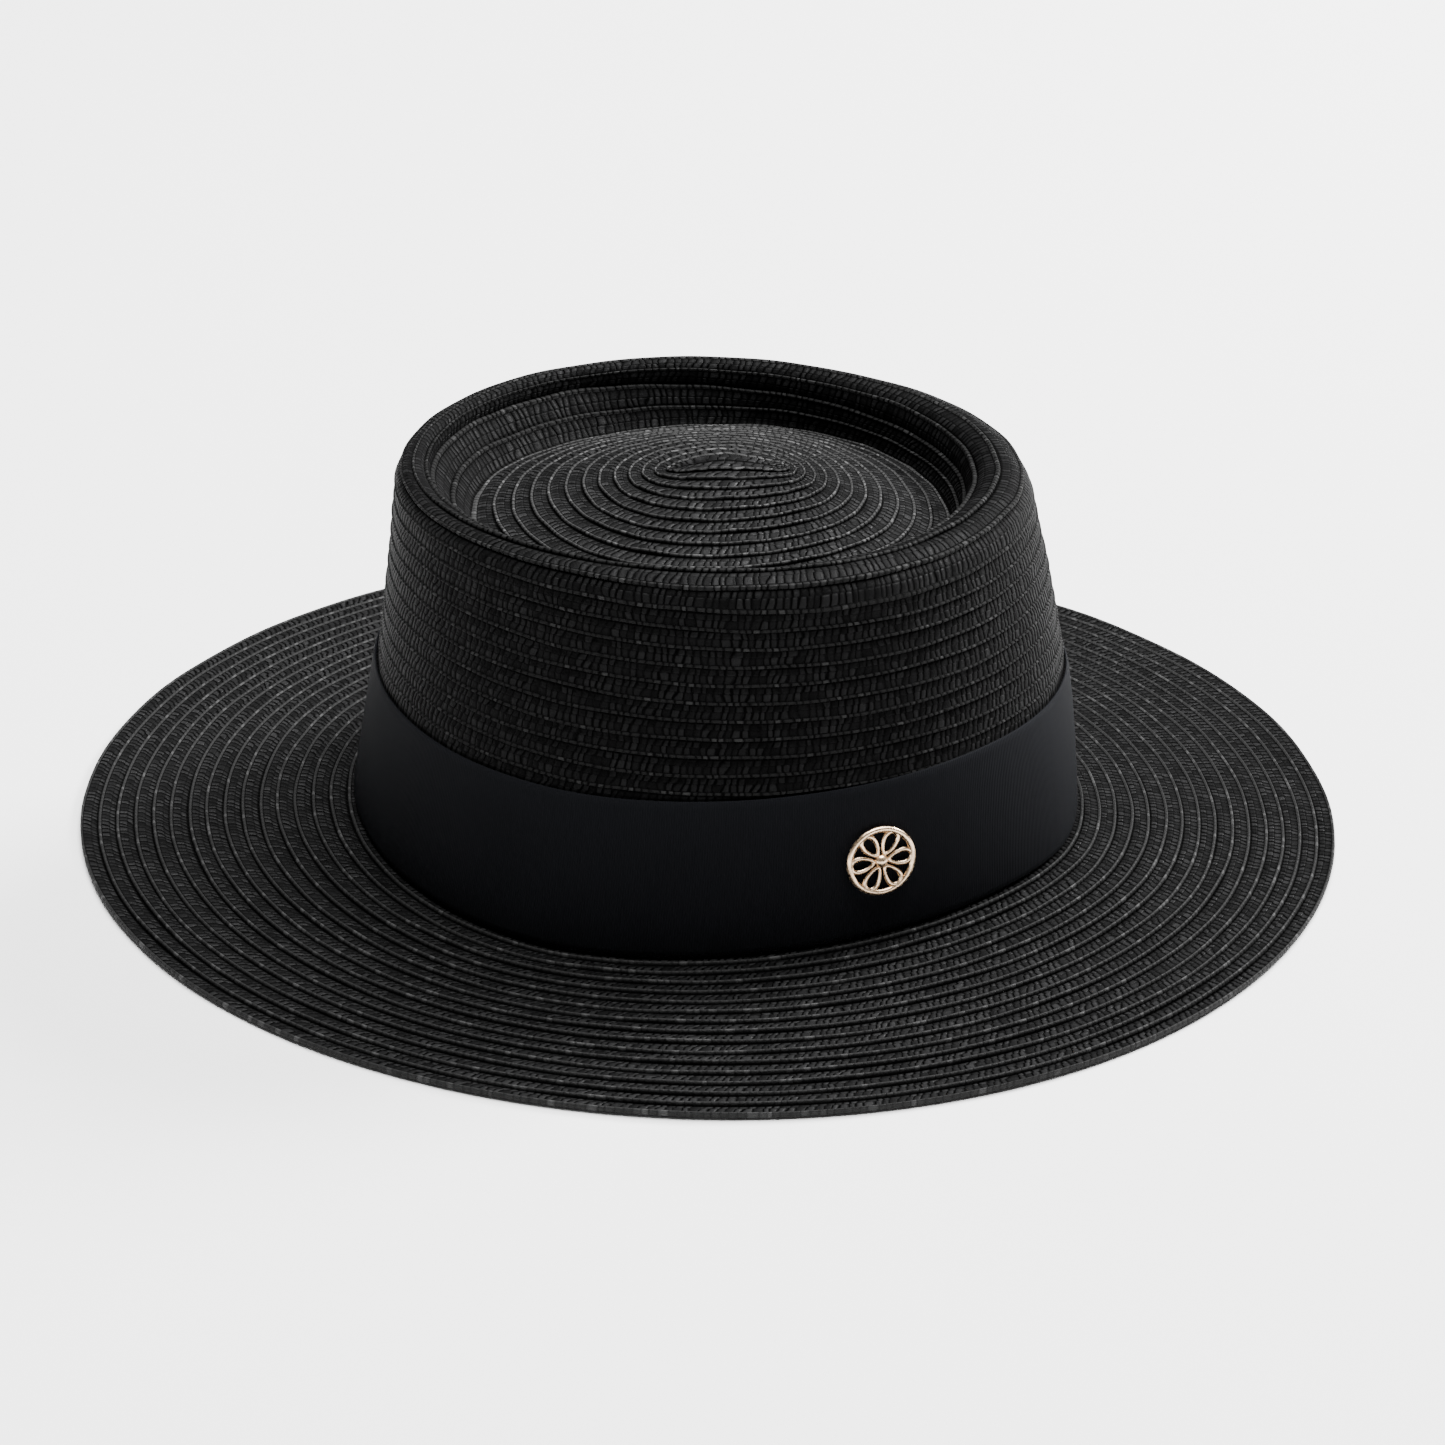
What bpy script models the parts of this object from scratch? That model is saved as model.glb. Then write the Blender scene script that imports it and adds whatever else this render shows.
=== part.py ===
"""Sewn straw hat: a level brim, a low crown with a rolled lip, a sunken domed top, a ribbon and a badge.

Metres, +Z up. The hat rests on the level edge of its brim, and the underside of that edge is z = 0.
-Y is the front of the hat, +X is the wearer's left. The brim's centre is on the Z axis.
Every ring is measured by an angle that starts at the front and turns towards the wearer's left.
"""
import math

import bpy
from mathutils import Matrix, Vector

# Brim, a flat ring of straw braid
brim_half_length = 0.1696
brim_half_width = 0.1597
brim_plan_exponent = 2.02
brim_wall = 0.0018
brim_edge_round = 0.0006
level_edge_width = 0.0050
join_lift = 0.0020
join_pitch = 0.0026
join_saddle = 0.0018
brim_curve_exponent = 1.4

# Crown, a hollow wall that leans in to a rolled lip, and the sunken domed top inside the lip
foot_half_length = 0.1000
foot_half_width = 0.0916
foot_plan_exponent = 1.83
lip_plan_exponent = 2.05
crown_wall = 0.0018
crown_back_shift = 0.0024
crown_back_lean = 0.0013
crown_back_swell = 0.0019
wall_lean_length = 0.0129
wall_bulge_length = 0.0036
wall_lean_width = 0.0195
wall_hollow_width = 0.0056
foot_upright = 0.0010
lip_height = 0.0933
lip_pitch = 0.0024
lip_radius = 0.0070
lip_radius_change = 0.0023
sink_half_length = 0.0636
sink_half_width = 0.0615
sink_plan_exponent = 1.85
sink_back_shift = 0.0029
sink_depth = 0.0081
dome_rise = 0.0160
dome_exponent = 1.3
dome_back_shift = 0.0030

# Ribbon round the foot of the crown
band_height = 0.0408
band_wall = 0.0010

# Badge on the ribbon, and the post behind it
badge_radius = 0.0092
badge_rim = 0.0012
badge_hub_radius = 0.0016
badge_thickness = 0.0012
badge_edge_round = 0.0002
badge_petals = 6
badge_petal_half_width = 0.0021
badge_angle = math.radians(140.0)
badge_height = 0.0205
post_radius = 0.0008
post_clearance = 0.0003

# Clearance between pieces that touch
seat_gap = 0.0003

# Smoothness of the round shapes
ring_segments = 80
wall_steps = (0.0, 0.28, 0.56, 0.82)
lip_steps = 5
dome_steps = (1.0, 0.84, 0.64, 0.42, 0.20)
brim_steps = (0.0, 0.22, 0.46, 0.72)
badge_segments = 40
petal_segments = 10
hole_segments = 12
post_segments = 10
smooth_angle = math.radians(40.0)
bevel_angle = math.radians(50.0)

# Distances for directions measured on the surfaces, and for doubled points
direction_step = 0.001
weld_distance = 0.00001


def plan_point(angle, half_length, half_width, exponent):
    """A point of a rounded oval on the ground plane, with the front of the hat at -Y."""
    across = math.sin(angle)
    along = math.cos(angle)
    reach = (abs(across) ** exponent + abs(along) ** exponent) ** (-1.0 / exponent)
    return Vector((half_width * across * reach, -half_length * along * reach, 0.0))


def join_height(angle):
    """Underside of the brim where it meets the crown: a little off the ground, highest at the back."""
    return join_lift - join_pitch * math.cos(angle) + join_saddle * math.cos(2.0 * angle)


def foot_height(angle):
    """Bottom of the crown and of the ribbon, seated on top of the brim."""
    return join_height(angle) + brim_wall + seat_gap


def lip_centre_height(angle):
    """Height of the middle of the rolled lip, a little higher at the front."""
    return lip_height + lip_pitch * math.cos(angle)


def wall_point(angle, height):
    """Outside of the crown's wall, at a height above its foot."""
    full = lip_centre_height(angle) - foot_height(angle)
    share = max(height - foot_upright, 0.0) / (full - foot_upright)
    half_length = foot_half_length - wall_lean_length * share - wall_bulge_length * share ** 2
    half_width = foot_half_width - wall_lean_width * share + wall_hollow_width * share ** 2
    exponent = foot_plan_exponent + (lip_plan_exponent - foot_plan_exponent) * share
    point = plan_point(angle, half_length, half_width, exponent)
    point.y += crown_back_shift + crown_back_lean * share + crown_back_swell * math.sin(math.pi * share)
    point.z = foot_height(angle) + height
    return point


def wall_outward(angle, height):
    """Level direction that points straight out of the crown's wall."""
    along = wall_point(angle + direction_step, height) - wall_point(angle - direction_step, height)
    return Vector((along.y, -along.x, 0.0)).normalized()


def band_point(angle, height, outward):
    """A point of the ribbon, at a height above its foot and a distance out of the crown's wall."""
    return wall_point(angle, height) + wall_outward(angle, height) * outward


def dome_point(angle, share):
    """A point of the sunken top, at a share of the way from its middle to the crease round it."""
    point = plan_point(angle, sink_half_length * share, sink_half_width * share, sink_plan_exponent)
    point.y += sink_back_shift + dome_back_shift * (1.0 - share)
    point.z = lip_height - sink_depth + dome_rise * (1.0 - share ** dome_exponent)
    return point


def crown_column(angle):
    """The crown's outside surface along one angle, from its foot over the lip to the seam round its top."""
    full = lip_centre_height(angle) - foot_height(angle)
    column = [wall_point(angle, 0.0), wall_point(angle, foot_upright), wall_point(angle, band_height / 2.0)]
    column += [wall_point(angle, band_height + (full - band_height) * step) for step in wall_steps]
    lip_side = wall_point(angle, full)
    outward = wall_outward(angle, full)
    radius = lip_radius - lip_radius_change * math.cos(angle)
    lip_centre = lip_side - outward * radius
    for step in range(lip_steps + 1):
        turn = math.pi * step / lip_steps
        rise = Vector((0.0, 0.0, radius * math.sin(turn)))
        column.append(lip_centre + outward * radius * math.cos(turn) + rise)
    column.append(dome_point(angle, 1.0) + outward * seat_gap)
    return column


def top_column(angle):
    """The sunken top's outside surface along one angle, from the seam round it in to its middle."""
    return [dome_point(angle, step) for step in dome_steps]


def brim_column(angle):
    """The brim's underside along one angle, from the head opening out to the level edge."""
    outward = wall_outward(angle, 0.0)
    foot = wall_point(angle, 0.0)
    foot.z = join_height(angle)
    inner = foot - outward * crown_wall
    start = foot + outward * (2.0 * seat_gap + band_wall)
    edge = plan_point(angle, brim_half_length, brim_half_width, brim_plan_exponent)
    level = edge - edge.normalized() * level_edge_width
    column = [inner]
    for step in brim_steps:
        point = start.lerp(level, step)
        point.z = join_height(angle) * (1.0 - step) ** brim_curve_exponent
        column.append(point)
    column += [level, edge]
    return column


def band_column(angle):
    """The ribbon's inside surface along one angle, a small gap out of the crown's wall."""
    heights = (0.0, foot_upright, band_height / 2.0, band_height)
    return [band_point(angle, height, seat_gap) for height in heights]


def material(name, colour, roughness, metallic):
    """A plain material with the piece's colour."""
    new = bpy.data.materials.new(name)
    new.use_nodes = True
    shader = new.node_tree.nodes["Principled BSDF"]
    shader.inputs["Base Color"].default_value = (*colour, 1.0)
    shader.inputs["Roughness"].default_value = roughness
    shader.inputs["Metallic"].default_value = metallic
    return new


def add_object(name, mesh, finish, collection):
    """Put a mesh in the scene under its name, shaded smooth, with its material."""
    new = bpy.data.objects.new(name, mesh)
    collection.objects.link(new)
    if finish:
        mesh.materials.append(finish)
    mesh.shade_smooth()
    mesh.set_sharp_from_angle(angle=smooth_angle)
    return new


def loft(name, column_at, centre=None):
    """An open surface through one column of points per angle, closed at the middle if a centre is given."""
    columns = [column_at(2.0 * math.pi * turn / ring_segments) for turn in range(ring_segments)]
    rows = len(columns[0])
    points = [point for column in columns for point in column]
    faces = []
    for turn in range(ring_segments):
        here = turn * rows
        there = ((turn + 1) % ring_segments) * rows
        faces += [(here + row, there + row, there + row + 1, here + row + 1) for row in range(rows - 1)]
        if centre:
            faces.append((here + rows - 1, there + rows - 1, len(points)))
    if centre:
        points.append(centre)
    mesh = bpy.data.meshes.new(name)
    mesh.from_pydata(points, [], faces)
    return mesh


def thicken(target, wall, offset):
    """Give an open surface its wall."""
    solid = target.modifiers.new("wall", "SOLIDIFY")
    solid.thickness = wall
    solid.offset = offset
    solid.use_even_offset = True


def round_edges(target, width, segments):
    """Round the sharp edges of a piece."""
    bevel = target.modifiers.new("round edges", "BEVEL")
    bevel.width = width
    bevel.segments = segments
    bevel.limit_method = "ANGLE"
    bevel.angle_limit = bevel_angle


def add_cylinder(name, radius, bottom, top, segments, collection):
    """A round bar along Z, from one height to another."""
    bpy.ops.mesh.primitive_cylinder_add(
        vertices=segments, radius=radius, depth=top - bottom, location=(0.0, 0.0, (top + bottom) / 2.0))
    bar = bpy.context.object
    bar.name = name
    bar.data.transform(bar.matrix_world)
    bar.matrix_world = Matrix.Identity(4)
    for owner in bar.users_collection:
        owner.objects.unlink(bar)
    collection.objects.link(bar)
    return bar


def boolean(target, tool, operation):
    """Cut a tool out of a piece, or join it on."""
    cut = target.modifiers.new(tool.name, "BOOLEAN")
    cut.operation = operation
    cut.solver = "EXACT"
    cut.object = tool


def add_loop(curve, points):
    """One closed outline of straight runs on a flat curve."""
    spline = curve.splines.new("POLY")
    spline.points.add(len(points) - 1)
    for target, point in zip(spline.points, points):
        target.co = (point[0], point[1], 0.0, 1.0)
    spline.use_cyclic_u = True


def petal_outline(turn):
    """Outline of one pierced petal between the badge's hub and its rim."""
    near = badge_hub_radius + badge_rim / 2.0
    far = badge_radius - badge_rim
    middle = (near + far) / 2.0
    reach = (far - near) / 2.0
    points = []
    for step in range(petal_segments):
        angle = 2.0 * math.pi * step / petal_segments
        radius = middle + reach * math.cos(angle)
        side = badge_petal_half_width * math.sin(angle) * radius / middle
        points.append((radius * math.cos(turn) - side * math.sin(turn),
                       radius * math.sin(turn) + side * math.cos(turn)))
    return points


def badge_place():
    """Where the badge lies on the ribbon: its centre, with Z out of the ribbon and Y up the wall."""
    outward = seat_gap + band_wall
    centre = band_point(badge_angle, badge_height, outward)
    level = band_point(badge_angle + direction_step, badge_height, outward) - centre
    rise = band_point(badge_angle, badge_height + direction_step, outward) - centre
    face = level.cross(rise).normalized()
    level.normalize()
    place = Matrix((level, face.cross(level), face)).transposed().to_4x4()
    place.translation = centre
    return place


def build_brim(collection):
    """The level ring of straw braid that the hat rests on."""
    straw = material("brim straw", (0.020, 0.020, 0.022), 0.55, 0.0)
    brim = add_object("brim", loft("brim", brim_column), straw, collection)
    thicken(brim, brim_wall, -1.0)
    round_edges(brim, brim_edge_round, 1)


def build_crown(collection):
    """The hollow crown, from its foot over the rolled lip down to the seam, and the domed top inside it."""
    straw = material("crown straw", (0.020, 0.020, 0.022), 0.55, 0.0)
    crown = add_object("crown", loft("crown", crown_column), straw, collection)
    thicken(crown, crown_wall, -1.0)
    top = add_object("crown_top", loft("crown_top", top_column, dome_point(0.0, 0.0)), straw, collection)
    thicken(top, crown_wall, -1.0)


def build_band(collection, cutters):
    """The ribbon, with a small hole for the badge's post."""
    ribbon = material("ribbon", (0.012, 0.013, 0.020), 0.85, 0.0)
    band = add_object("hat_band", loft("hat_band", band_column), ribbon, collection)
    thicken(band, band_wall, 1.0)
    reach = 2.0 * band_wall
    hole = add_cylinder("post hole", post_radius + post_clearance, -reach, reach, hole_segments, cutters)
    hole.matrix_world = badge_place()
    hole.display_type = "WIRE"
    hole.hide_render = True
    boolean(band, hole, "DIFFERENCE")


def build_badge(collection, cutters):
    """The pierced round badge, with the short post that holds it fused to its back."""
    gold = material("badge metal", (0.80, 0.62, 0.36), 0.28, 1.0)
    outline = bpy.data.curves.new("badge outline", "CURVE")
    outline.dimensions = "2D"
    outline.fill_mode = "BOTH"
    outline.extrude = badge_thickness / 2.0
    circle = [2.0 * math.pi * step / badge_segments for step in range(badge_segments)]
    add_loop(outline, [(badge_radius * math.cos(turn), badge_radius * math.sin(turn)) for turn in circle])
    for petal in range(badge_petals):
        add_loop(outline, petal_outline(2.0 * math.pi * petal / badge_petals))
    flat = bpy.data.objects.new("badge outline", outline)
    collection.objects.link(flat)
    bpy.context.view_layer.update()
    mesh = bpy.data.meshes.new_from_object(flat.evaluated_get(bpy.context.evaluated_depsgraph_get()))
    mesh.name = "badge"
    mesh.transform(Matrix.Translation((0.0, 0.0, seat_gap + badge_thickness / 2.0)))
    bpy.data.objects.remove(flat)
    badge = add_object("badge", mesh, gold, collection)
    weld = badge.modifiers.new("weld", "WELD")
    weld.merge_threshold = weld_distance
    round_edges(badge, badge_edge_round, 1)
    front = seat_gap + badge_thickness / 2.0
    post = add_cylinder("post", post_radius, -band_wall, front, post_segments, cutters)
    post.matrix_world = badge_place()
    post.display_type = "WIRE"
    post.hide_render = True
    badge.matrix_world = badge_place()
    boolean(badge, post, "UNION")


def build_hat():
    """All the pieces of the hat, in a collection of their own."""
    for old in list(bpy.data.objects):
        bpy.data.objects.remove(old)
    hat = bpy.data.collections.new("straw hat")
    cutters = bpy.data.collections.new("cutters")
    for new in (hat, cutters):
        bpy.context.scene.collection.children.link(new)
    build_brim(hat)
    build_crown(hat)
    build_band(hat, cutters)
    build_badge(hat, cutters)


build_hat()
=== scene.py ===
# %% [markdown]
# A sewn straw hat, lying on its brim
#
# The hat is a long plaited braid of paper straw, sewn row over row into a domed top, a rolled lip, a wall and
# a brim. A plain ribbon runs round it, with a small pierced badge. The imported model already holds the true
# shape as smooth solids. This lesson dresses those solids: it lays every row of braid along their surfaces,
# and then gives straw, ribbon and metal their finish.

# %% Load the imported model
import math

import bpy
import numpy as np
from mathutils import Matrix, Vector


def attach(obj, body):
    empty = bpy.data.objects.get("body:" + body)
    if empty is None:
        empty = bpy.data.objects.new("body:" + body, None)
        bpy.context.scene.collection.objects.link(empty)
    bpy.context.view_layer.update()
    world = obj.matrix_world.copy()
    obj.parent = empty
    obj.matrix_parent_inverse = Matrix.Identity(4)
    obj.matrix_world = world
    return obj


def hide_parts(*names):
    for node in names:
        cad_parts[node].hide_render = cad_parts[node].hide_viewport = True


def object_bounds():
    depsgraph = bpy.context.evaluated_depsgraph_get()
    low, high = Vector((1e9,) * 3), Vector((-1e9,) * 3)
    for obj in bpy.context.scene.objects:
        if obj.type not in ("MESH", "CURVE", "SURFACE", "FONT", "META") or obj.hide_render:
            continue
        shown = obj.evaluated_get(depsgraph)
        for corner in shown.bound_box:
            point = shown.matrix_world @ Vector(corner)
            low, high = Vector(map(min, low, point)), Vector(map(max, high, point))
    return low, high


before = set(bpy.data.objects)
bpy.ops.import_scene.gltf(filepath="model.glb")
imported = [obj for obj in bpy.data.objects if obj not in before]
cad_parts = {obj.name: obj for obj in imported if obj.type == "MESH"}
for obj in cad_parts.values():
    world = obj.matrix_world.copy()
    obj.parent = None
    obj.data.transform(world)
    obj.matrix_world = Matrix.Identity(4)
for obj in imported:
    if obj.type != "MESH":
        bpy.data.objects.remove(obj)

cad_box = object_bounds()
print("packed model, size in mm:", [round(1000 * side, 1) for side in cad_box[1] - cad_box[0]])

# %% [markdown]
# The camera
#
# The photo looks down on the hat by about 26 degrees, from its left and a little behind. A camera can be
# dragged into place by eye, but here its angles and distance are numbers, so the view can be repeated. Its
# axes are worked out first, because the lights are placed by them too.

# %% Place the camera
photo_pixels = 1445
focal_pixels = 3823.2
camera_azimuth = math.radians(116.93)
camera_elevation = math.radians(26.21)
camera_roll = math.radians(-0.43)
camera_distance = 1.0193
aim_point = Vector((-0.0003, 0.0019, 0.0336))
aim_right = 0.0033
aim_up = -0.0091

view_back = Vector((math.sin(camera_azimuth) * math.cos(camera_elevation),
                    -math.cos(camera_azimuth) * math.cos(camera_elevation),
                    math.sin(camera_elevation)))
view_right = Vector((math.cos(camera_azimuth), math.sin(camera_azimuth), 0.0))
view_up = view_back.cross(view_right)
view_away = Vector((-view_back.x, -view_back.y, 0.0)).normalized()

camera_data = bpy.data.cameras.new("camera")
camera_data.angle = 2.0 * math.atan(photo_pixels / 2.0 / focal_pixels)
camera = bpy.data.objects.new("camera", camera_data)
bpy.context.scene.collection.objects.link(camera)
rolled_right = view_right * math.cos(camera_roll) + view_up * math.sin(camera_roll)
rolled_up = view_up * math.cos(camera_roll) - view_right * math.sin(camera_roll)
camera_axes = Matrix((rolled_right, rolled_up, view_back)).transposed().to_4x4()
camera_axes.translation = aim_point + view_right * aim_right + view_up * aim_up + view_back * camera_distance
camera.matrix_world = camera_axes
bpy.context.scene.camera = camera
print("camera angle in degrees:", round(math.degrees(camera_data.angle), 2))

# %% [markdown]
# The hat's surfaces as formulas
#
# Braid can only be laid on a surface whose points are known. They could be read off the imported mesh, but its
# facets would show in the rows. So the same ovals, heights and lip are written as formulas here, once more,
# and the braid follows them smoothly. A ring is measured by an angle, from the front towards the left, and
# rows of braid are counted from the middle of the top, over the lip, down to the foot of the wall.

# %% Ovals and heights
brim_half_length = cad_box[1].y
brim_half_width = cad_box[1].x
brim_plan_exponent = 2.02
brim_wall = 0.0018
level_edge_width = 0.0050
join_lift = 0.0020
join_pitch = 0.0026
join_saddle = 0.0018
brim_curve_exponent = 1.4
foot_half_length = 0.1000
foot_half_width = 0.0916
foot_plan_exponent = 1.83
lip_plan_exponent = 2.05
crown_wall = 0.0018
crown_back_shift = 0.0024
crown_back_lean = 0.0013
crown_back_swell = 0.0019
wall_lean_length = 0.0129
wall_bulge_length = 0.0036
wall_lean_width = 0.0195
wall_hollow_width = 0.0056
foot_upright = 0.0010
lip_height = 0.0933
lip_pitch = 0.0024
lip_radius = 0.0070
lip_radius_change = 0.0023
sink_half_length = 0.0636
sink_half_width = 0.0615
sink_plan_exponent = 1.85
sink_back_shift = 0.0029
sink_depth = 0.0081
dome_rise = 0.0160
dome_exponent = 1.3
dome_back_shift = 0.0030
band_height = 0.0408
band_wall = 0.0010
seat_gap = 0.0003


def oval(angle, half_length, half_width, exponent):
    """Points of a rounded oval on the ground, as two arrays."""
    across = np.sin(angle)
    along = np.cos(angle)
    reach = (np.abs(across) ** exponent + np.abs(along) ** exponent) ** (-1.0 / exponent)
    return half_width * across * reach, -half_length * along * reach


def join_height(angle):
    """Underside of the brim where it meets the crown."""
    return join_lift - join_pitch * np.cos(angle) + join_saddle * np.cos(2.0 * angle)


def foot_height(angle):
    """Foot of the crown and of the ribbon."""
    return join_height(angle) + brim_wall + seat_gap


def lip_centre_height(angle):
    """Middle of the rolled lip, a little higher at the front."""
    return lip_height + lip_pitch * np.cos(angle)


def wall_point(angle, height):
    """Outside of the crown's wall, at a height above its foot."""
    full = lip_centre_height(angle) - foot_height(angle)
    share = np.maximum(height - foot_upright, 0.0) / (full - foot_upright)
    half_length = foot_half_length - wall_lean_length * share - wall_bulge_length * share ** 2
    half_width = foot_half_width - wall_lean_width * share + wall_hollow_width * share ** 2
    exponent = foot_plan_exponent + (lip_plan_exponent - foot_plan_exponent) * share
    x, y = oval(angle, half_length, half_width, exponent)
    lean = crown_back_shift + crown_back_lean * share + crown_back_swell * np.sin(np.pi * share)
    return np.stack([x, y + lean, foot_height(angle) + height], axis=-1)


def wall_outward(angle, height):
    """Level direction straight out of the wall."""
    small_turn = 0.001
    along = wall_point(angle + small_turn, height) - wall_point(angle - small_turn, height)
    outward = np.stack([along[..., 1], -along[..., 0], np.zeros_like(along[..., 0])], axis=-1)
    return outward / np.linalg.norm(outward, axis=-1, keepdims=True)


print("foot of the crown in mm, front and back:", np.round(1000 * foot_height(np.array([0.0, np.pi])), 1))

# %% The crown as rows of braid
dome_rows = 13.0
sink_rows = 2.0
lip_rows = 4.0
wall_rows = 19.0
crown_rows = int(dome_rows + sink_rows + lip_rows + wall_rows)
core_half_length = 0.0140
core_angle = math.radians(212.0)
core_shift = 0.0035
core_fade = 2.6


def crown_surface(angle, row):
    """A point on the crown's outside: rows count from the middle of the top to the foot of the wall."""
    angle, row = np.broadcast_arrays(np.asarray(angle, float), np.asarray(row, float))
    sink_height = lip_height - sink_depth
    share = np.clip(row / dome_rows, 0.0, 1.0)
    x, y = oval(angle, sink_half_length * share, sink_half_width * share, sink_plan_exponent)
    near_core = (1.0 - share) ** core_fade
    stretch = core_half_length * near_core * np.cos(angle - core_angle)
    x = x + stretch * math.sin(core_angle)
    y = y - stretch * math.cos(core_angle) + core_shift * near_core
    spread = (np.abs(x / sink_half_width) ** sink_plan_exponent
              + np.abs(y / sink_half_length) ** sink_plan_exponent) ** (1.0 / sink_plan_exponent)
    lean = sink_back_shift + dome_back_shift * (1.0 - spread)
    dome = np.stack([x, y + lean, sink_height + dome_rise * (1.0 - spread ** dome_exponent)], axis=-1)
    full = lip_centre_height(angle) - foot_height(angle)
    outward = wall_outward(angle, full)
    radius = (lip_radius - lip_radius_change * np.cos(angle))[..., None]
    lip_centre = wall_point(angle, full) - outward * radius
    share = np.clip((row - dome_rows) / sink_rows, 0.0, 1.0)[..., None]
    sink = dome + (lip_centre - outward * radius - dome) * share
    turn = np.pi * (1.0 - np.clip((row - dome_rows - sink_rows) / lip_rows, 0.0, 1.0))[..., None]
    lip = lip_centre + outward * radius * np.cos(turn) + np.array([0.0, 0.0, 1.0]) * radius * np.sin(turn)
    share = np.clip((row - dome_rows - sink_rows - lip_rows) / wall_rows, 0.0, 1.0)
    wall = wall_point(angle, full * (1.0 - share))
    row = row[..., None]
    return np.where(row <= dome_rows, dome,
                    np.where(row <= dome_rows + sink_rows, sink,
                             np.where(row <= dome_rows + sink_rows + lip_rows, lip, wall)))


brim_rows = 16
brim_join_share = 0.05


def brim_surface(angle, row):
    """A point on top of the brim: rows count from the head opening to the edge."""
    angle, row = np.broadcast_arrays(np.asarray(angle, float), np.asarray(row, float))
    foot = wall_point(angle, np.zeros_like(angle))
    inner = foot - wall_outward(angle, np.zeros_like(angle)) * crown_wall
    x, y = oval(angle, brim_half_length, brim_half_width, brim_plan_exponent)
    edge = np.stack([x, y, np.zeros_like(x)], axis=-1)
    share = np.clip(row / brim_rows, 0.0, 1.0)[..., None]
    point = inner + (edge - inner) * share
    level = 1.0 - level_edge_width / np.linalg.norm(edge - inner, axis=-1)
    fall = np.clip((share[..., 0] - brim_join_share) / (level - brim_join_share), 0.0, 1.0)
    point[..., 2] = join_height(angle) * (1.0 - fall) ** brim_curve_exponent + brim_wall
    return point


print("rows of braid on the crown and on the brim:", crown_rows, brim_rows)

# %% [markdown]
# One row of braid
#
# A row is a flat plait, about 5 mm wide, sewn over the inner edge of the row that follows it. It has a raised
# outer edge, where the strands turn back, and a hidden inner edge. A ring with a round section is easy to
# add, so each row starts as a torus, and its section is then pressed into the plait's own shape and laid on
# the hat. A section's points hold the share of a row's width and the height over the surface in mm. The same
# way makes the ribbon, with another section.

# %% Lay a ring on the hat
braid_section = np.array([
    (1.03, -0.75),
    (1.01, -0.25),
    (0.96, 0.08),
    (0.90, 0.06),
    (0.83, -0.28),
    (0.60, -0.28),
    (0.35, -0.42),
    (0.10, -0.70),
    (-0.20, -1.05),
    (-0.24, -1.35),
    (0.10, -1.50),
    (0.50, -1.30),
    (0.85, -1.15),
    (0.98, -1.05),
])
millimetre = 0.001


def add_ring(name, steps, sides):
    """A torus, and for each of its points the step round the ring and the side of the section."""
    bpy.ops.object.select_all(action="DESELECT")
    bpy.ops.mesh.primitive_torus_add(
        major_segments=steps, minor_segments=sides, major_radius=1.0, minor_radius=0.2)
    ring = bpy.context.object
    ring.name = name
    points = np.empty(len(ring.data.vertices) * 3)
    ring.data.vertices.foreach_get("co", points)
    points = points.reshape(-1, 3)
    step = np.arctan2(points[:, 1], points[:, 0]) / (2.0 * np.pi) * steps
    side = np.arctan2(points[:, 2], np.hypot(points[:, 0], points[:, 1]) - 1.0) / (2.0 * np.pi) * sides
    return ring, np.round(step).astype(int) % steps, np.round(side).astype(int) % sides


def set_points(target, points):
    """Move all the points of a mesh."""
    target.data.vertices.foreach_set("co", np.ascontiguousarray(points, np.float32).ravel())
    target.data.update()


def set_uv(target, step, steps, along, across):
    """Write a UV map: along is the length of the whole ring in the pattern's own units."""
    mesh = target.data
    corner = np.empty(len(mesh.loops), int)
    mesh.loops.foreach_get("vertex_index", corner)
    turn = step[corner].reshape(-1, 4)
    turn = np.where((turn == 0) & (turn.max(axis=1, keepdims=True) > steps / 2), steps, turn)
    uv = np.stack([turn.ravel() / steps * along, across[corner]], axis=-1)
    layer = mesh.uv_layers[0] if mesh.uv_layers else mesh.uv_layers.new(name="UVMap")
    layer.data.foreach_set("uv", uv.astype(np.float32).ravel())


def surface_normal(surface, angle, row):
    """Direction out of a surface, from its neighbouring points."""
    small_turn = 0.002
    small_row = 0.05
    along = surface(angle + small_turn, row) - surface(angle - small_turn, row)
    across = surface(angle, row + small_row) - surface(angle, np.maximum(row - small_row, 0.02))
    normal = np.cross(across, along)
    length = np.linalg.norm(normal, axis=-1, keepdims=True)
    up = np.array([0.0, 0.0, 1.0])
    return np.where(length > 1e-12, normal / np.maximum(length, 1e-12), up)


edge_waver = 0.030
edge_ripple = 0.06


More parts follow.
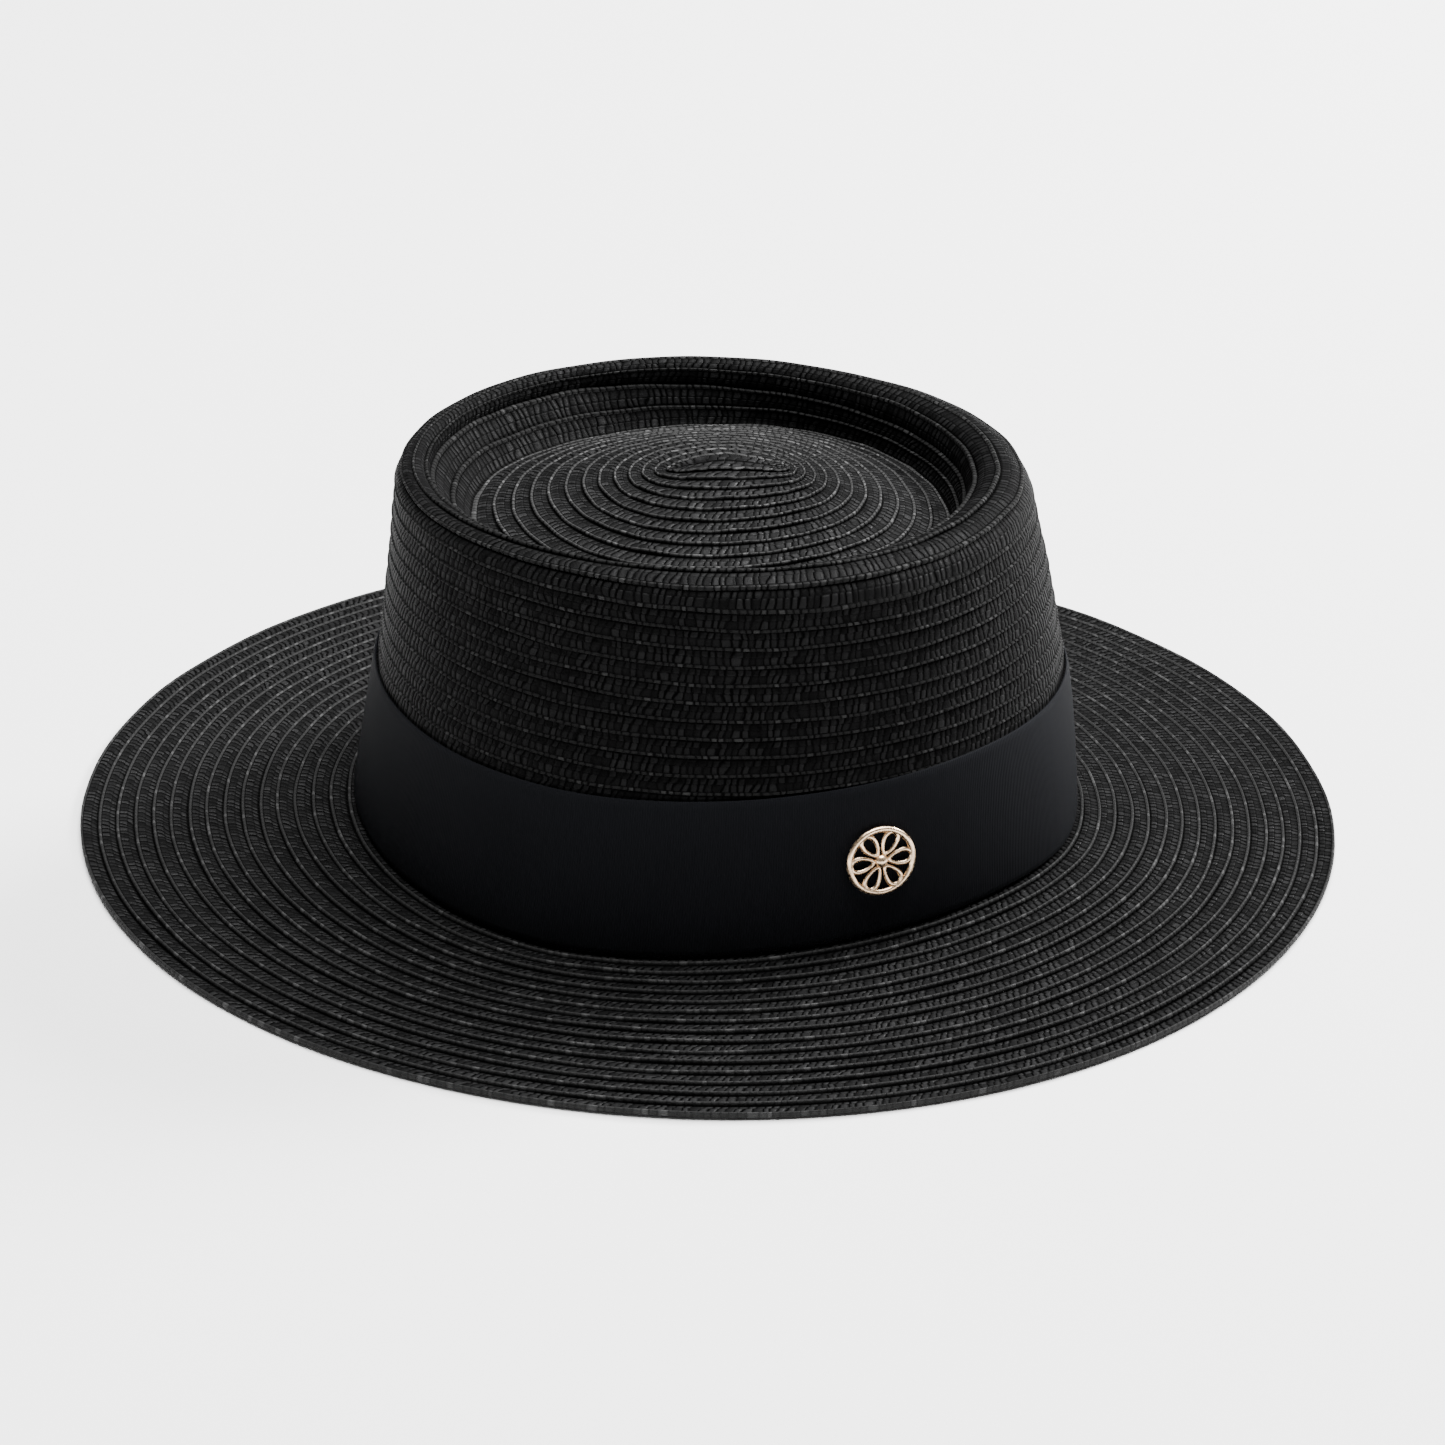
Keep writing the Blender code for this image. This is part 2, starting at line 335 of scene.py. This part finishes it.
def lay_braid(name, surface, rows, steps, strand, thickness, last):
    """The given rows of braid, each a ring that laps over the next, joined into one mesh."""
    chance = np.random.default_rng(len(rows) + steps)
    rings = []
    for row in rows:
        ring, step, side = add_ring(name, steps, len(braid_section))
        angle = 2.0 * np.pi * step / steps
        across = braid_section[side, 0]
        lift = braid_section[side, 1] * thickness
        if row == 0 and surface is crown_surface:
            lift = np.where(lift > -1.1, np.maximum(lift, -0.3), lift)
        waver = np.zeros(len(angle))
        ripple = np.zeros(len(angle))
        for waves in (3, 7, 13, 23):
            waver += edge_waver * np.sin(waves * angle + chance.uniform(0.0, 6.28)) / math.sqrt(waves / 3.0)
            ripple += edge_ripple * millimetre * np.sin(waves * angle + chance.uniform(0.0, 6.28))
        place = np.clip(row + across + np.where(across > 0.5, waver, 0.0), 0.0, last)
        base = surface(angle, place)
        normal = surface_normal(surface, angle, place)
        points = base + normal * (lift * millimetre + ripple * (across > 0.5))[:, None]
        middle = surface(np.linspace(0.0, 2.0 * np.pi, 181), np.full(181, row + 0.5))
        length = np.linalg.norm(np.diff(middle, axis=0), axis=1).sum()
        strands = max(int(round(length / strand)), 8)
        set_points(ring, points)
        set_uv(ring, step, steps, strands, 2.0 * row + 0.5 + across)
        rings.append(ring)
    bpy.ops.object.select_all(action="DESELECT")
    for ring in rings:
        ring.select_set(True)
    bpy.context.view_layer.objects.active = rings[0]
    bpy.ops.object.join()
    braid = bpy.context.object
    braid.name = name
    bpy.ops.object.shade_smooth()
    print(name, "rows:", len(rows), "triangles:", 2 * len(braid.data.polygons))
    return braid


# %% Sew the crown and the brim
crown_strand = 0.0019
brim_strand = 0.0020
crown_thickness = 1.0
brim_thickness = 1.24
top_rows = range(int(dome_rows))
side_rows = range(int(dome_rows), crown_rows)
top_braid = lay_braid("top_braid", crown_surface, top_rows, 300, crown_strand, crown_thickness, crown_rows)
side_braid = lay_braid("side_braid", crown_surface, side_rows, 270, crown_strand, crown_thickness, crown_rows)
brim_braid = lay_braid(
    "brim_braid", brim_surface, range(brim_rows), 360, brim_strand, brim_thickness, brim_rows)
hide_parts("crown_top")
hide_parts("crown")
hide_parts("brim")
for braid in (top_braid, side_braid, brim_braid):
    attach(braid, "root")

# %% [markdown]
# The ribbon
#
# The ribbon is a woven strip, 41 mm wide, pulled round the foot of the crown. Its section is a thin upright
# strip with rounded edges. It is laid as a ring too, so that it hugs the wall all round.

# %% Wrap the ribbon
ribbon_section = np.array([
    (0.004, 0.60),
    (0.012, 0.88),
    (0.050, 1.00),
    (0.25, 1.00),
    (0.50, 1.00),
    (0.75, 1.00),
    (0.950, 0.95),
    (0.988, 0.78),
    (0.996, 0.55),
    (0.994, 0.25),
    (0.950, -0.10),
    (0.50, -0.10),
    (0.050, -0.10),
    (0.006, 0.25),
])


def wrap_ribbon(name, steps, rib):
    """The ribbon round the wall: heights are shares of its width, and distances out of the wall are in mm."""
    chance = np.random.default_rng(5)
    ring, step, side = add_ring(name, steps, len(ribbon_section))
    angle = 2.0 * np.pi * step / steps
    share = ribbon_section[side, 0]
    outward = ribbon_section[side, 1] * millimetre
    wave = np.zeros(len(angle))
    for waves in (2, 5, 9, 14):
        wave += 0.05 * millimetre * np.sin(waves * angle + chance.uniform(0.0, 6.28) + 2.0 * share)
    height = band_height * share
    points = wall_point(angle, height) + wall_outward(angle, height) * (outward + wave)[:, None]
    set_points(ring, points)
    middle = wall_point(np.linspace(0.0, 2.0 * np.pi, 181), np.full(181, band_height / 2.0))
    length = np.linalg.norm(np.diff(middle, axis=0), axis=1).sum()
    set_uv(ring, step, steps, round(length / rib), share)
    bpy.ops.object.shade_smooth()
    print(name, "length in mm:", round(1000 * length))
    return ring


ribbon = wrap_ribbon("ribbon", 360, 0.0006)
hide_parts("hat_band")
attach(ribbon, "root")

# %% [markdown]
# The badge
#
# A small round badge of gold-coloured metal sits on the ribbon. Its pattern is a plain rosette: a rim, six
# petals and a hub. Rim, petals and hub are each a primitive, pressed flat and joined.

# %% Make the badge
badge_radius = 0.0092
badge_angle = math.radians(140.0)
badge_height = 0.0205
badge_petals = 6


def badge_place():
    """Where the badge lies on the ribbon: Z out of the ribbon and Y up the wall."""
    def point(angle, height):
        """A point on the outside of the ribbon."""
        base = wall_point(np.array(angle), np.array(height))
        return Vector(base + wall_outward(np.array(angle), np.array(height)) * (seat_gap + band_wall))

    centre = point(badge_angle, badge_height)
    level = point(badge_angle + 0.001, badge_height) - centre
    rise = point(badge_angle, badge_height + 0.001) - centre
    face = level.cross(rise).normalized()
    level.normalize()
    place = Matrix((level, face.cross(level), face)).transposed().to_4x4()
    place.translation = centre
    return place


def add_wire_loop(centre, half_long, half_wide, wire, turn, segments):
    """A flat oval loop of round wire, turned about the badge's middle."""
    bpy.ops.mesh.primitive_torus_add(
        major_segments=segments, minor_segments=10, major_radius=1.0, minor_radius=0.25)
    loop = bpy.context.object
    for vertex in loop.data.vertices:
        x, y, z = vertex.co
        ring = math.hypot(x, y)
        out = (ring - 1.0) / 0.25 * wire
        x, y = x / ring, y / ring
        narrow = 1.0 + 0.35 * x
        x, y = x * (half_long + out), y * narrow * (half_wide + out)
        x += centre
        vertex.co = (x * math.cos(turn) - y * math.sin(turn),
                     x * math.sin(turn) + y * math.cos(turn),
                     z / 0.25 * wire)
    return loop


def make_badge():
    """Rim, petals and hub, joined and set on the ribbon."""
    bpy.ops.object.select_all(action="DESELECT")
    pieces = []
    bpy.ops.mesh.primitive_torus_add(
        major_segments=96, minor_segments=14, major_radius=badge_radius - 0.00080, minor_radius=0.00080)
    pieces.append(bpy.context.object)
    for petal in range(badge_petals):
        turn = 2.0 * math.pi * petal / badge_petals
        pieces.append(add_wire_loop(0.0050, 0.0030, 0.0017, 0.00058, turn, 40))
    bpy.ops.mesh.primitive_uv_sphere_add(segments=32, ring_count=16, radius=0.0018)
    pieces.append(bpy.context.object)
    bpy.ops.object.select_all(action="DESELECT")
    for piece in pieces:
        piece.select_set(True)
    bpy.context.view_layer.objects.active = pieces[0]
    bpy.ops.object.join()
    badge = bpy.context.object
    badge.name = "badge_rosette"
    badge.data.transform(Matrix.Translation((0.0, 0.0, 0.0010)) @ Matrix.Diagonal((1.0, 1.0, 0.9, 1.0)))
    badge.data.transform(badge_place())
    bpy.ops.object.shade_smooth()
    return badge


badge = make_badge()
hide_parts("badge")
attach(badge, "root")
view_depth = (camera.matrix_world.inverted() @ badge_place().translation)
print("badge in the photo's pixels:",
      round(photo_pixels / 2 + focal_pixels * view_depth.x / -view_depth.z),
      round(photo_pixels / 2 - focal_pixels * view_depth.y / -view_depth.z))

# %% [markdown]
# Shader helpers
#
# Materials here are built from a few kinds of node. A small helper adds a maths node and links its inputs,
# so that a pattern reads like a formula.

# %% Node helpers


class Net:
    """A node tree that is written like formulas."""

    def __init__(self, tree):
        self.tree = tree

    def node(self, kind, **settings):
        """Add a node and set its own settings."""
        new = self.tree.nodes.new(kind)
        for name, value in settings.items():
            setattr(new, name, value)
        return new

    def put(self, socket, value):
        """Link a socket to an input, or give the input a plain value."""
        if isinstance(value, bpy.types.NodeSocket):
            self.tree.links.new(value, socket)
        else:
            socket.default_value = value

    def maths(self, operation, *values):
        """A maths node with its result."""
        new = self.node("ShaderNodeMath", operation=operation)
        for socket, value in zip(new.inputs, values):
            self.put(socket, value)
        return new.outputs[0]

    def ramp(self, value, low, high, new_low=0.0, new_high=1.0):
        """A smooth step of a value from low to high."""
        new = self.node("ShaderNodeMapRange", interpolation_type="SMOOTHSTEP")
        for socket, number in zip(new.inputs, (value, low, high, new_low, new_high)):
            self.put(socket, number)
        return new.outputs[0]

    def mix(self, share, first, second):
        """One value that turns into another."""
        new = self.node("ShaderNodeMix", data_type="FLOAT")
        self.put(new.inputs[0], share)
        self.put(new.inputs[2], first)
        self.put(new.inputs[3], second)
        return new.outputs[0]

    def colour(self, share, first, second):
        """One colour that turns into another."""
        new = self.node("ShaderNodeMix", data_type="RGBA")
        self.put(new.inputs[0], share)
        self.put(new.inputs[6], first)
        self.put(new.inputs[7], second)
        return new.outputs[2]


# %% [markdown]
# The plait
#
# Each row of braid shows slanted strands that meet in a soft herringbone, and a beaded outer edge, where the
# strands turn back. The UV map counts strands along a row and rows across, so the pattern follows every row.
# It is a node group, because crown and brim use it with different values.

# %% The plait as a node group
crossing_place = 0.40
strand_bend = 0.30
strand_wander = 1.6
edge_start = 0.80
stitch_place = 0.81
seam_shade_end = 0.17


def make_plait_group():
    """Height, tone and edge of plaited straw, and a mask of painted shade in its gaps with the stitch line,
    from its UV map.
    """
    group = bpy.data.node_groups.new("plait", "ShaderNodeTree")
    group.interface.new_socket("UV", in_out="INPUT", socket_type="NodeSocketVector")
    group.interface.new_socket("Slant", in_out="INPUT", socket_type="NodeSocketFloat")
    group.interface.new_socket("Beads", in_out="INPUT", socket_type="NodeSocketFloat")
    for name in ("Height", "Tone", "Edge", "Gap Shade And Stitch"):
        group.interface.new_socket(name, in_out="OUTPUT", socket_type="NodeSocketFloat")
    net = Net(group)
    given = net.node("NodeGroupInput")
    result = net.node("NodeGroupOutput")
    split = net.node("ShaderNodeSeparateXYZ")
    net.put(split.inputs[0], given.outputs["UV"])
    row = net.maths("FLOOR", net.maths("DIVIDE", split.outputs[1], 2.0))
    across = net.maths("SUBTRACT", split.outputs[1], net.maths("ADD", net.maths("MULTIPLY", row, 2.0), 0.5))
    edge = net.ramp(across, edge_start, edge_start + 0.05)

    wander_place = net.node("ShaderNodeCombineXYZ")
    net.put(wander_place.inputs[0], net.maths("MULTIPLY", split.outputs[0], 0.45))
    net.put(wander_place.inputs[1], net.maths("MULTIPLY", row, 3.7))
    net.put(wander_place.inputs[2], net.maths("MULTIPLY", across, 0.8))
    wander = net.node("ShaderNodeTexNoise")
    net.put(wander.inputs["Vector"], wander_place.outputs[0])
    net.put(wander.inputs["Scale"], 1.0)
    net.put(wander.inputs["Detail"], 1.0)

    shift = net.maths("MULTIPLY", net.maths("SINE", net.maths("MULTIPLY", row, 12.9)), 7.0)
    half = net.maths("GREATER_THAN", across, crossing_place)
    from_crossing = net.maths("SUBTRACT", across, crossing_place)
    bent = net.maths("ADD", from_crossing, net.maths("MULTIPLY", half, strand_bend))
    slant = net.maths("MULTIPLY", given.outputs["Slant"], net.maths("SUBTRACT", 1.0, edge))
    phase = net.maths("ADD", net.maths("ADD", split.outputs[0], shift), net.maths("MULTIPLY", bent, slant))
    phase = net.maths("ADD", phase, net.maths("MULTIPLY", wander.outputs[0], strand_wander))
    strand = net.maths("FLOOR", phase)
    inside = net.maths("SUBTRACT", net.maths("MULTIPLY", net.maths("SUBTRACT", phase, strand), 2.0), 1.0)
    ridge = net.maths("SUBTRACT", 1.0, net.maths("MULTIPLY", inside, inside))

    place = net.node("ShaderNodeCombineXYZ")
    net.put(place.inputs[0], strand)
    net.put(place.inputs[1], row)
    net.put(place.inputs[2], net.maths("ADD", half, edge))
    noise = net.node("ShaderNodeTexWhiteNoise", noise_dimensions="3D")
    net.put(noise.inputs[0], place.outputs[0])
    crossing = net.ramp(net.maths("ABSOLUTE", from_crossing), 0.0, 0.06, 0.80, 1.0)
    profile = net.maths("MULTIPLY", net.maths("POWER", ridge, 0.6), crossing)
    lift = net.maths("ADD", 0.5, net.maths("MULTIPLY", noise.outputs[0], 0.5))
    flat = net.maths("MULTIPLY", profile, lift)
    cord = net.mix(given.outputs["Beads"], 1.0, flat)
    net.put(result.inputs["Height"], net.mix(edge, flat, cord))
    net.put(result.inputs["Tone"], noise.outputs[0])
    net.put(result.inputs["Edge"], edge)
    # Painted shade: the slits between strands, and the band along each row's inner edge under the lap of the
    # row before it, are painted dark where shade falls; the stitch line is the real dark thread.
    slit_shade = net.maths("MULTIPLY", net.ramp(profile, 0.90, 0.52), net.mix(edge, 1.0, given.outputs["Beads"]))
    slit_shade = net.maths("MULTIPLY", slit_shade, net.ramp(noise.outputs[0], 0.0, 0.8, 0.30, 1.0))
    seam_shade = net.ramp(across, seam_shade_end, seam_shade_end - 0.10)
    from_stitch = net.maths("ABSOLUTE", net.maths("SUBTRACT", across, stitch_place))
    stitch = net.maths("MULTIPLY", net.ramp(from_stitch, 0.04, 0.0), 0.6)
    net.put(result.inputs["Gap Shade And Stitch"], net.maths("MAXIMUM", slit_shade, net.maths("MAXIMUM", seam_shade, stitch)))
    return group


plait_group = make_plait_group()
print("nodes in the plait group:", len(plait_group.nodes))

# %% [markdown]
# Straw
#
# The straw is dyed almost black. Its strands differ a little in tone, the edges of rows are painted lighter as
# a painted highlight, with brighter painted glints on some beads, and the gaps between strands carry painted
# shade.
# The gloss is a weak coat that the gaps lack. Dome, wall and brim are the same straw; each has its own gloss
# and its own tones, painted lighter on the top and the brim and darker on the wall, as painted light and
# shade.

# %% Straw material


def make_straw(name, slant, beads, depth, dark, light, cord, gloss):
    """Black paper straw with the plait's relief."""
    material = bpy.data.materials.new(name)
    material.use_nodes = True
    net = Net(material.node_tree)
    shader = material.node_tree.nodes["Principled BSDF"]
    uv = net.node("ShaderNodeUVMap")
    plait = net.node("ShaderNodeGroup", node_tree=plait_group)
    net.put(plait.inputs["UV"], uv.outputs[0])
    net.put(plait.inputs["Slant"], slant)
    net.put(plait.inputs["Beads"], beads)
    where = net.node("ShaderNodeTexCoord")
    blotch = net.node("ShaderNodeTexNoise")
    net.put(blotch.inputs["Vector"], where.outputs["Object"])
    net.put(blotch.inputs["Scale"], 60.0)
    net.put(blotch.inputs["Detail"], 3.0)
    fibre = net.node("ShaderNodeTexNoise")
    net.put(fibre.inputs["Vector"], where.outputs["Object"])
    net.put(fibre.inputs["Scale"], 1800.0)
    net.put(fibre.inputs["Detail"], 2.0)
    tone = net.maths("ADD", net.maths("MULTIPLY", plait.outputs["Tone"], 0.7),
                     net.maths("MULTIPLY", blotch.outputs[0], 0.3))
    cool = 1.02
    glint_gain = 2.4
    strand = net.colour(tone, (dark, dark, dark * cool, 1.0), (light, light, light * cool, 1.0))
    # Painted highlight: the row edges get a lighter colour, and some of their beads a brighter painted glint.
    glint = net.maths("MULTIPLY", net.ramp(plait.outputs["Tone"], 0.74, 1.0), plait.outputs["Edge"])
    painted_edge_highlight = net.colour(plait.outputs["Edge"], strand, (cord, cord, cord, 1.0))
    painted_edge_highlight = net.colour(glint, painted_edge_highlight, (cord * glint_gain, cord * glint_gain, cord * glint_gain, 1.0))
    # Painted shade: the gaps between strands get this near-black colour; on the stitch line it stands for the
    # real dark thread.
    gap_shade_colour = (0.0005, 0.0005, 0.0005, 1.0)
    net.put(shader.inputs["Base Color"], net.colour(plait.outputs["Gap Shade And Stitch"], painted_edge_highlight, gap_shade_colour))
    shader.inputs["Roughness"].default_value = 0.6
    shader.inputs["Specular IOR Level"].default_value = 0.02
    bare = net.maths("SUBTRACT", 1.0, plait.outputs["Gap Shade And Stitch"])
    shine = net.maths("MULTIPLY", bare, net.ramp(plait.outputs["Tone"], 0.2, 1.0, 0.3, 1.0))
    net.put(shader.inputs["Coat Weight"], net.maths("MULTIPLY", shine, gloss))
    shader.inputs["Coat Roughness"].default_value = 0.32
    height = net.maths("ADD", plait.outputs["Height"], net.maths("MULTIPLY", fibre.outputs[0], 0.25))
    bump = net.node("ShaderNodeBump")
    bump.inputs["Strength"].default_value = 1.0
    bump.inputs["Distance"].default_value = depth
    net.put(bump.inputs["Height"], height)
    net.put(shader.inputs["Normal"], bump.outputs[0])
    net.put(shader.inputs["Coat Normal"], bump.outputs[0])
    return material


def dress(target, material):
    """Give a piece one material."""
    target.data.materials.clear()
    target.data.materials.append(material)


# The three copies are one straw in lit and shaded versions: painted lighter on the top and the brim, which
# face the light, and darker on the wall, which is in shade.
dress(top_braid, make_straw(
    "top straw painted lit", slant=0.5, beads=0.7, depth=0.0007, dark=0.001, light=0.016, cord=0.026, gloss=0.12))
dress(side_braid, make_straw(
    "side straw painted shaded", slant=0.4, beads=0.9, depth=0.0007, dark=0.001, light=0.0105, cord=0.010, gloss=0.03))
dress(brim_braid, make_straw(
    "brim straw", slant=0.7, beads=0.30, depth=0.0008, dark=0.001, light=0.0130, cord=0.016, gloss=0.07))
print("straws:", [braid.active_material.name for braid in (top_braid, side_braid, brim_braid)])

# %% [markdown]
# Ribbon and metal
#
# Grosgrain is woven with fine upright ribs and hardly shines. The badge is polished, with small scratches.

# %% Ribbon and badge materials


def make_grosgrain(name):
    """Blue-black ribbon with fine upright ribs."""
    material = bpy.data.materials.new(name)
    material.use_nodes = True
    net = Net(material.node_tree)
    shader = material.node_tree.nodes["Principled BSDF"]
    uv = net.node("ShaderNodeUVMap")
    split = net.node("ShaderNodeSeparateXYZ")
    net.put(split.inputs[0], uv.outputs[0])
    rib = net.maths("ABSOLUTE", net.maths("SINE", net.maths("MULTIPLY", split.outputs[0], math.pi)))
    where = net.node("ShaderNodeTexCoord")
    cloud = net.node("ShaderNodeTexNoise")
    net.put(cloud.inputs["Vector"], where.outputs["Object"])
    net.put(cloud.inputs["Scale"], 45.0)
    net.put(cloud.inputs["Detail"], 4.0)
    # Painted shade: the grooves between the ribs are painted darker, following the ribs' bump; the cloud is
    # random tone.
    tone = net.maths("ADD", net.maths("MULTIPLY", rib, 0.5), net.maths("MULTIPLY", cloud.outputs[0], 0.5))
    net.put(shader.inputs["Base Color"],
            net.colour(tone, (0.0030, 0.0032, 0.0040, 1.0), (0.0062, 0.0066, 0.0080, 1.0)))
    shader.inputs["Roughness"].default_value = 0.8
    shader.inputs["Specular IOR Level"].default_value = 0.04
    bump = net.node("ShaderNodeBump")
    bump.inputs["Strength"].default_value = 0.6
    bump.inputs["Distance"].default_value = 0.0001
    net.put(bump.inputs["Height"], rib)
    net.put(shader.inputs["Normal"], bump.outputs[0])
    return material


def make_gold(name):
    """Polished pale gold with fine scratches."""
    material = bpy.data.materials.new(name)
    material.use_nodes = True
    net = Net(material.node_tree)
    shader = material.node_tree.nodes["Principled BSDF"]
    where = net.node("ShaderNodeTexCoord")
    scratch = net.node("ShaderNodeTexNoise")
    net.put(scratch.inputs["Vector"], where.outputs["Object"])
    net.put(scratch.inputs["Scale"], 900.0)
    net.put(scratch.inputs["Detail"], 3.0)
    net.put(shader.inputs["Base Color"],
            net.colour(scratch.outputs[0], (0.84, 0.58, 0.36, 1.0), (0.96, 0.73, 0.50, 1.0)))
    shader.inputs["Metallic"].default_value = 1.0
    net.put(shader.inputs["Roughness"], net.ramp(scratch.outputs[0], 0.3, 0.7, 0.22, 0.36))
    bump = net.node("ShaderNodeBump")
    bump.inputs["Strength"].default_value = 0.3
    bump.inputs["Distance"].default_value = 0.00005
    net.put(bump.inputs["Height"], scratch.outputs[0])
    net.put(shader.inputs["Normal"], bump.outputs[0])
    return material


dress(ribbon, make_grosgrain("grosgrain ribbon"))
dress(badge, make_gold("pale gold"))

# %% [markdown]
# Floor and light
#
# The photo is a plain product shot on a nearly even pale ground, with soft light from the upper right.

# %% Floor, lights and world
bpy.ops.object.select_all(action="DESELECT")
bpy.ops.mesh.primitive_plane_add(size=12.0, location=(0.0, 0.0, cad_box[0].z))
floor = bpy.context.object
floor.name = "floor"
floor_material = bpy.data.materials.new("pale floor")
floor_material.use_nodes = True
floor_shader = floor_material.node_tree.nodes["Principled BSDF"]
floor_shader.inputs["Base Color"].default_value = (0.90, 0.90, 0.90, 1.0)
floor_shader.inputs["Roughness"].default_value = 0.9
floor_shader.inputs["Specular IOR Level"].default_value = 0.0
dress(floor, floor_material)


def add_light(name, right, away, up, size, power):
    """A soft square light, placed by the camera's directions and aimed at the hat."""
    data = bpy.data.lights.new(name, "AREA")
    data.size = size
    data.energy = power
    light = bpy.data.objects.new(name, data)
    light.location = view_right * right + view_away * away + Vector((0.0, 0.0, up))
    light.rotation_euler = (-light.location + Vector((0.0, 0.0, 0.05))).to_track_quat("-Z", "Y").to_euler()
    bpy.context.scene.collection.objects.link(light)


add_light("key", 1.9, 1.3, 1.5, 0.8, 220.0)
add_light("top", 0.3, 0.4, 3.0, 2.6, 400.0)
world = bpy.data.worlds.new("soft room")
world.use_nodes = True
world.node_tree.nodes["Background"].inputs["Color"].default_value = (1.0, 1.0, 1.0, 1.0)
world.node_tree.nodes["Background"].inputs["Strength"].default_value = 0.20
bpy.context.scene.world = world
